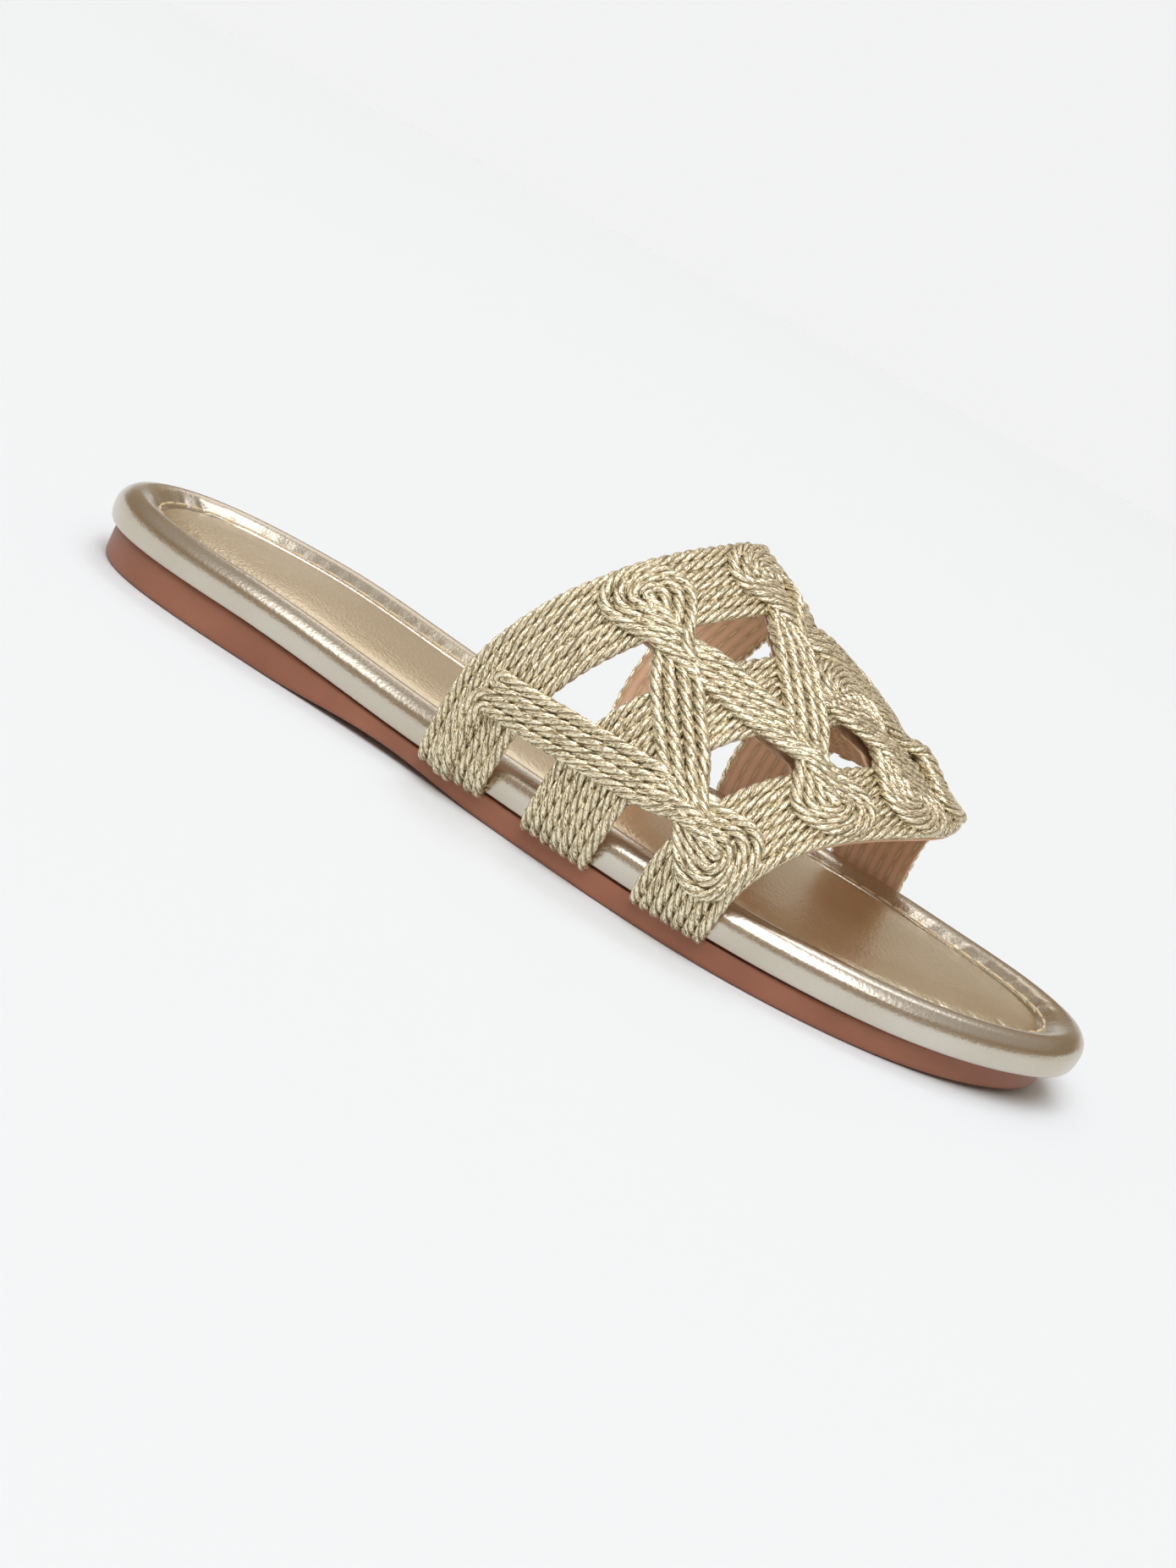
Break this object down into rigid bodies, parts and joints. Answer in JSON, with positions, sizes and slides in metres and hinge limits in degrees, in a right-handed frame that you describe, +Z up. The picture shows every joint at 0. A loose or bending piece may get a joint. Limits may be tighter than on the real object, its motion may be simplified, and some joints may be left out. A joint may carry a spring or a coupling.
{
  "type": "rope slide mule",
  "caption": "Flat open-toe slide mule for the right foot: twisted rope bands with a looped zigzag overlay on a padded metallic footbed and a slim brown outsole.",
  "frame": {"origin": "on the floor under the middle of the shoe's overall box", "axes": "+Z up, toe along -Y, medial (big toe) side along +X"},
  "size_m": [0.1021, 0.249, 0.0732],
  "materials": {
    "outsole": "smooth brown, semi-matte",
    "footbed": "champagne gold metallic foil with fine grain",
    "insole": "champagne gold metallic foil with fine grain, padded",
    "upper": "twisted metallic cord sewn on a tan lining"
  },
  "bodies": {
    "root": {"outsole": "outsole", "footbed": "footbed", "insole": "insole", "upper": "upper"}
  },
  "joints": []
}
